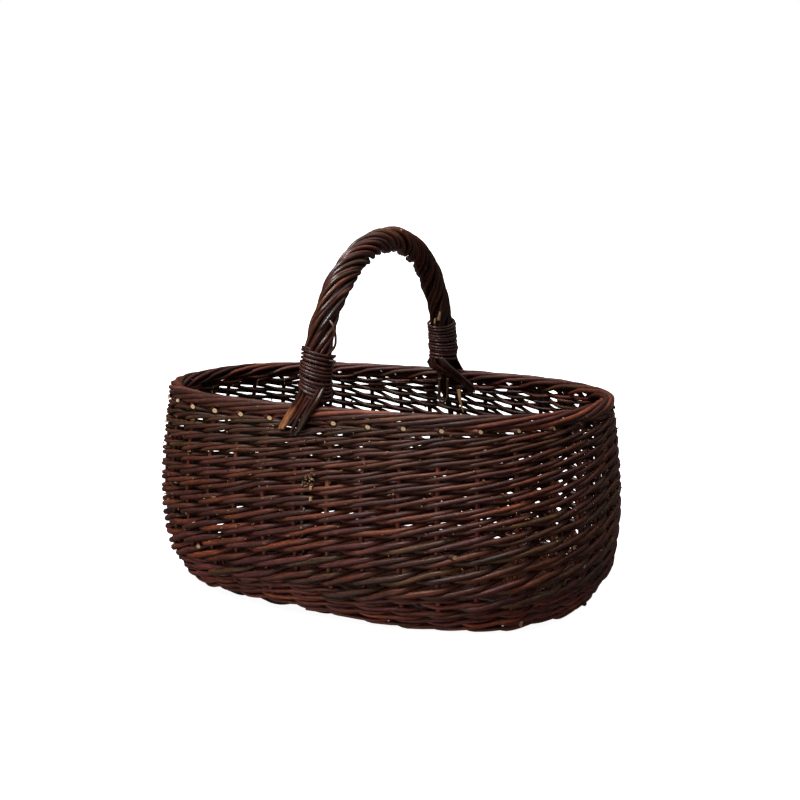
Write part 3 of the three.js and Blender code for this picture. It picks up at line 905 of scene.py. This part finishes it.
def ropingPath(i):
    per = handle["rodsPerHalf"]
    rank = i - (per - 1) / 2
    count = int(handle["turns"] * handle["stepsPerTurn"])
    q = np.linspace(0, 1, count + 1)
    angle = np.pi * q
    turned = q - handle["loosening"] / (2 * np.pi) * np.sin(2 * np.pi * q)
    wander = handle["wander"] * np.sin(2 * np.pi * (q * rng.uniform(2, 5) + rng.uniform()))
    turn = rank * np.pi / per + 2 * np.pi * handle["turns"] * turned + wander
    lift = handle["heave"] * np.sin(2 * np.pi * (q * rng.uniform(3, 7) + rng.uniform()))
    radial = roundBow(angle, turn)
    helix = archPoint(angle) + radial * (handle["bow"] + handle["rod"] * handle["nestle"] + lift)[:, None]
    startFoot = np.array(footing["outside"]) + [rank * footing["outsidePitch"], 0, 0]
    startFoot[0] += [0, 0, rng.uniform(-1, 1) * footing["unevenEnds"]]
    startFoot[:2] += [0, (-1) ** i * footing["unevenDepth"], 0]
    x = footing["insideStarts"][i]
    part, middleY, middleZ = footing["insideMiddle"]
    endX, endY, endZ = footing["insideEnd"]
    endX += rank * footing["insidePitch"]
    endZ += rng.uniform(-1, 1) * footing["unevenInside"]
    endFoot = [(x, *footing["insideTop"]), (x + part * (endX - x), middleY, middleZ), (endX, endY, endZ)]
    trim = footing["trim"]
    start = smoothPath(np.vstack([startFoot, helix[trim : trim + 2]]), 5)[:-1]
    end = smoothPath(np.vstack([helix[-trim - 2 : -trim], endFoot]), 5)
    path = np.vstack([start, helix[trim + 2 : -trim - 2], end])
    startFacing = np.repeat([[0, -1.0, 0]], len(start), 0)
    endFacing = np.repeat([[0.1, -1.0, 0]], len(end), 0)
    return path, np.vstack([startFacing, radial[trim + 2 : -trim - 2], endFacing])


def makeRopingRod(bundle, letter, i):
    path, facing = ropingPath(i)
    if letter == "b":
        path, facing = path * halfTurn, facing * halfTurn
    along = lengthAlong(path)
    stout = handle["rod"] * rng.uniform(*handle["stoutness"])
    radius, buds = rodRadius(path, stout, stout * handle["taper"], handle["budSpacing"])
    radius *= tableAt(footing["startSize"], along) * tableAt(footing["endSize"], along[-1] - along)
    # lighter at the top of the arch; the darkening at the rod's end, inside the other foot, is painted shade
    toneAndShade = tableAt(handle["tone"], along / along[-1])
    atFoot = np.clip(1 - along / footing["toneLength"], 0, 1)
    toneAndShade *= 1 + atFoot * (footing["tones"][i] - 1)
    shade = barkShade(path, toneAndShade[:, None])
    if letter == "a" and i < footing["peeledFeet"]:
        peeled = np.clip((footing["peeled"] - along) / footing["peelEdge"], 0, 1)[:, None]
        shade = shade * (1 - peeled) + linear(footing["peeledColour"]) * peeled
    addRod(bundle, leaned(path), radius, facing, shade, buds, sides=10)


def makeRoping():
    for letter in "ab":
        for pair in range(handle["rodsPerHalf"] // 2):
            bundle = newBundle()
            for i in (2 * pair, 2 * pair + 1):
                makeRopingRod(bundle, letter, i)
            node = f"roping_rod_{letter}{pair + 1}"
            makePiece(f"ropingPair_{letter}{pair + 1}", bundle, handleBark, [node])


binding = {
    "rod": 1.55,
    "taper": (1.08, 0.9),
    "turns": 12,
    "front": (-4, 37),  # heights above the spring of the arch
    "back": (-0.5, 41.5),
    "radius": 14.9,
    "steps": 20,
    "slant": (6.0, 3.0),  # at the first and the last turn
    "backSlant": -0.4,  # of that at the front
    "unevenTurns": 0.9,
    "unevenRadius": 0.35,
    "budSpacing": 40,
    "colour": (84, 46, 40),
}


def makeBindings():
    turns = binding["turns"]
    knots = np.arange(turns + 1)
    t = np.arange(turns * binding["steps"] + 1) / binding["steps"]
    turn = 2 * np.pi * t
    for name, sign, foot in (("bindingFront", 1, "front"), ("bindingBack", -1, "back")):
        low, high = binding[foot]
        wander = np.interp(t, knots, rng.normal(0, binding["unevenTurns"], turns + 1))
        slant = -np.interp(t, [0, turns], binding["slant"]) * np.sin(turn)
        slant *= 1 if sign > 0 else binding["backSlant"]
        angle = (low + (high - low) * t / turns + wander + slant) / archRise
        bulge = np.interp(t, knots, rng.normal(0, binding["unevenRadius"], turns + 1))
        radial = roundBow(angle, turn)
        path = archPoint(angle) + radial * (binding["radius"] + bulge)[:, None]
        flip = np.array([sign, sign, 1.0])
        butt, tip = (binding["rod"] * size for size in binding["taper"])
        radius, buds = rodRadius(path, butt, tip, binding["budSpacing"])
        bundle = newBundle()
        addRod(bundle, leaned(path * flip), radius, radial * flip, linear(binding["colour"]), buds)
        makePiece(name, bundle, handleBark, [f"handle_binding_{foot}"])


# short ends beside the bindings: points, radius at both ends and colour
looseEnds = (
    (((12, -128, 291), (17, -130, 286), (20.8, -132, 276), (19.6, -133, 266), (10, -137, 256)),
     (1.3, 1.2), (92, 50, 36)),
    (((8, -135, 258.5), (15, -133, 258.4), (20.5, -130, 258)), (1.5, 1.4), (88, 48, 38)),
    (((10, -136, 254), (16, -134, 253.8), (21.5, -132, 253)), (1.5, 1.4), (80, 44, 36)),
    (((-2, -126, 224), (8, -126, 221), (13, -127.5, 215), (12, -129, 210), (7.5, -130, 208)),
     (1.9, 1.6), (70, 42, 32)),
    (((0.8, 124, 203), (0.8, 123, 183), (3.5, 122, 177.5),
      (8.3, 122, 177.5), (10.8, 123, 183), (10.8, 124, 203)),
     (1.9, 1.7), (72, 58, 40)),
    (((24, 125, 192), (27, 123, 180), (32, 121, 167)), (2.6, 0.5), (196, 156, 112)),
    (((7, 13.5, 371.9), (8, 17.5, 370.6), (8.6, 21.5, 369.2)), (1.4, 1.1), (158, 104, 66)),
    # the last two are pale peeled wood, painted paler still as painted light against the shade they lie in
    (((7.8, 109.6, 279), (6.6, 110.2, 274.5), (5.4, 111, 270)), (1.1, 1.6), (252, 226, 180)),
    (((1.4, 110.6, 271.5), (0.4, 111.4, 266)), (1.3, 1.3), (240, 208, 160)),
)


def makeLooseEnds():
    bundle = newBundle()
    for points, sizes, colour in looseEnds:
        path = smoothPath(points, 5)
        radius = np.linspace(*sizes, len(path))
        addRod(bundle, leaned(path), radius, (0.3, -0.9, 0.3), linear(colour), sides=7)
    makePiece("looseEnds", bundle, handleBark)


# small things on the wall
wallBits = {
    # weavers' cut butts between two rods: stake, height and radius
    "butts": ((22.46, 83.2, 2.5), (27.05, 17, 2.0), (14.6, 58, 2.3),
              (31.2, 96, 2.4), (4.3, 71, 2.4), (9.1, 120, 2.1)),
    "buttRun": 0.3,  # in stakes
    "buttLift": (1, 9.5),
    "buttSlope": 0.5,
    # chips of bare wood: stake and height
    "chips": ((18.6, 135.5), (18.61, 125.3), (24.31, 15.9), (26.07, 63.3), (33.4, 88), (6.8, 132)),
    "chipSize": 1.6,
    "chipLength": 3.4,
    "chipLift": 8.0,
    "chipColour": (204, 172, 128),
    "twigs": 60,
    "twigHeights": (40, 186),
    "twigTone": 1.3,
    "specks": 260,
    "speckHeights": (70, 190),
    "speckColours": ((124, 96, 56), (124, 96, 56), (186, 150, 104)),
    "speckTones": (0.5, 1.3),
    "speckSizes": (0.7, 1.3),
    "lichen": (18.5, 143, 26),  # a patch: stake, height and how many bits
    "lichenSpread": (0.12, 5),  # in stakes and in height
}
# stubs: stakes along, rise, how far they stand out at root and tip, and radius there
twigForm = {"points": 4, "along": 0.14, "rise": (-2, 3), "root": 5, "tip": (8.2, 9.6), "size": (0.9, 0.6)}
speckForm = {"points": 3, "along": 0.05, "rise": (-1, 1), "root": 6.5, "tip": (8, 9.6), "size": (0.9, 0.5)}
stubFacing = [0.1, 0.1, 0.4]


def stubPath(k, z, form):
    count = form["points"]
    share = stakeShare(k + np.linspace(0, rng.uniform(-form["along"], form["along"]), count))
    heights = z + np.linspace(0, rng.uniform(*form["rise"]), count)
    lifts = np.linspace(form["root"], rng.uniform(*form["tip"]), count)
    return wallPoint(share, heights, lifts), wallFacing(share, np.full(count, z)) + stubFacing


def makeWallBits():
    bundle = newBundle()
    for k, z, size in wallBits["butts"]:
        share = stakeShare(np.linspace(k - wallBits["buttRun"], k, 6))
        heights = np.full(6, float(z))
        path = wallPoint(share, heights, np.linspace(*wallBits["buttLift"], 6))
        facing = wallFacing(share, heights)
        addRod(bundle, path, size, facing, barkShade(path),
               cutSlope=wallBits["buttSlope"], cutSide=-facing[-1])
    for k, z in wallBits["chips"]:
        share, half = np.full(5, stakeShare(k)), wallBits["chipLength"] / 2
        path = wallPoint(share, np.linspace(z - half, z + half, 5), wallBits["chipLift"])
        facing = wallFacing(share, np.full(5, z))
        addRod(bundle, path, wallBits["chipSize"], facing, linear(wallBits["chipColour"]), sides=6)
    for _ in range(wallBits["twigs"]):
        k, z = rng.uniform(0, stakeCount), rng.uniform(*wallBits["twigHeights"])
        path, facing = stubPath(k, z, twigForm)
        size = np.linspace(*twigForm["size"], len(path))
        addRod(bundle, path, size, facing, barkShade(path, wallBits["twigTone"]), sides=6)
    places = []
    for _ in range(wallBits["specks"]):
        places.append((rng.uniform(0, stakeCount), rng.uniform(*wallBits["speckHeights"])))
    stake, height, bits = wallBits["lichen"]
    alongSpread, heightSpread = wallBits["lichenSpread"]
    for _ in range(bits):
        places.append((rng.normal(stake, alongSpread), rng.normal(height, heightSpread)))
    colours = wallBits["speckColours"]
    for k, z in places:
        path, facing = stubPath(k, z, speckForm)
        shade = linear(colours[rng.integers(len(colours))]) * rng.uniform(*wallBits["speckTones"])
        size = np.linspace(*speckForm["size"], len(path)) * rng.uniform(*wallBits["speckSizes"])
        addRod(bundle, path, size, facing, shade, sides=5)
    makePiece("wallBits", bundle, weaverBark)


makeBow()
makeRoping()
makeBindings()
makeLooseEnds()
print("handle made")
makeWallBits()
makeRounds("footRounds", finerRows["footRounds"])
print("small bits and foot rounds made")

# floor, light and camera
stage = {
    "backdrop": 1.0,
    # light from straight below, 0, to straight above, 1
    "sky": ((0.45, 0.07), (0.52, 0.03), (0.76, 0.1), (1.0, 1.0)),
    # where a lamp stands, its strength and its width in degrees
    "lamps": (("softSun", (-0.18, -0.45, 0.9), 2.2, 24),
              ("floorLight", (-0.35, -0.8, -0.3), 0.55, 70)),
    "floorReach": 30,  # metres
    "floorLook": {
        "Base Color": (0.97, 0.97, 0.97, 1),
        "Roughness": 0.9,
        "Specular IOR Level": 0.1,
        "Emission Color": (1, 1, 1, 1),
        "Emission Strength": 0.95,  # keeps the shadow light
    },
}


def makeFloor():
    reach = stage["floorReach"]
    corners = [(-reach, -reach, 0), (reach, -reach, 0), (reach, reach, 0), (-reach, reach, 0)]
    mesh = bpy.data.meshes.new("floor")
    mesh.from_pydata(corners, [], [(0, 1, 2, 3)])
    material, _, shader = newMaterial("paleFloor")
    for name, value in stage["floorLook"].items():
        shader.inputs[name].default_value = value
    mesh.materials.append(material)
    floor = addObject("floor", mesh)
    floor.visible_diffuse = False  # the floor throws no light back up
    floor.visible_glossy = False
    floor.visible_shadow = False


# a sky that is brightest overhead, behind a plain white backdrop
def makeSky():
    world = bpy.data.worlds.new("studio")
    world.use_nodes = True
    tree = world.node_tree
    link = tree.links.new
    glow = tree.nodes["Background"]
    direction = tree.nodes.new("ShaderNodeTexCoord")
    split = tree.nodes.new("ShaderNodeSeparateXYZ")
    link(direction.outputs["Generated"], split.inputs[0])
    height = tree.nodes.new("ShaderNodeMapRange")
    height.inputs["From Min"].default_value = -1
    link(split.outputs["Z"], height.inputs["Value"])
    link(greyRamp(tree, height.outputs[0], stage["sky"]), glow.inputs["Color"])
    backdrop = tree.nodes.new("ShaderNodeBackground")
    backdrop.inputs["Strength"].default_value = stage["backdrop"]
    backdrop.inputs["Color"].default_value = (1, 1, 1, 1)
    rays = tree.nodes.new("ShaderNodeLightPath")
    mix = tree.nodes.new("ShaderNodeMixShader")
    link(rays.outputs["Is Camera Ray"], mix.inputs[0])
    link(glow.outputs[0], mix.inputs[1])
    link(backdrop.outputs[0], mix.inputs[2])
    link(mix.outputs[0], tree.nodes["World Output"].inputs["Surface"])
    bpy.context.scene.world = world
    bpy.context.scene.view_settings.view_transform = "Standard"


def aim(place, target):
    return (Vector(target) - Vector(place)).to_track_quat("-Z", "Y").to_euler()


# a soft sun, and a weak one from below in place of the floor's light
def makeLamps():
    for name, place, strength, softness in stage["lamps"]:
        light = bpy.data.lights.new(name, "SUN")
        light.energy = strength
        light.angle = math.radians(softness)
        addObject(name, light).rotation_euler = aim(place, (0, 0, 0))


camera = {  # degrees, metres, and the lens in millimetres
    "azimuth": 28.80,
    "elevation": 9.24,
    "distance": 1.4273,
    "lens": 61.57,
    "sensor": 36,
    "aside": 0.01597,  # where it looks, to the right of the basket's middle
    "up": 0.19584,
}


def makeCamera():
    az, el = (math.radians(camera[key]) for key in ("azimuth", "elevation"))
    target = (camera["aside"] * math.cos(az), camera["aside"] * math.sin(az), camera["up"])
    back = (math.sin(az) * math.cos(el), -math.cos(az) * math.cos(el), math.sin(el))
    data = bpy.data.cameras.new("camera")
    data.lens = camera["lens"]
    data.sensor_width = camera["sensor"]
    view = addObject("camera", data)
    view.location = [t + b * camera["distance"] for t, b in zip(target, back)]
    view.rotation_euler = aim(view.location, target)
    bpy.context.scene.camera = view


makeFloor()
makeSky()
makeLamps()
makeCamera()
print("stage made")
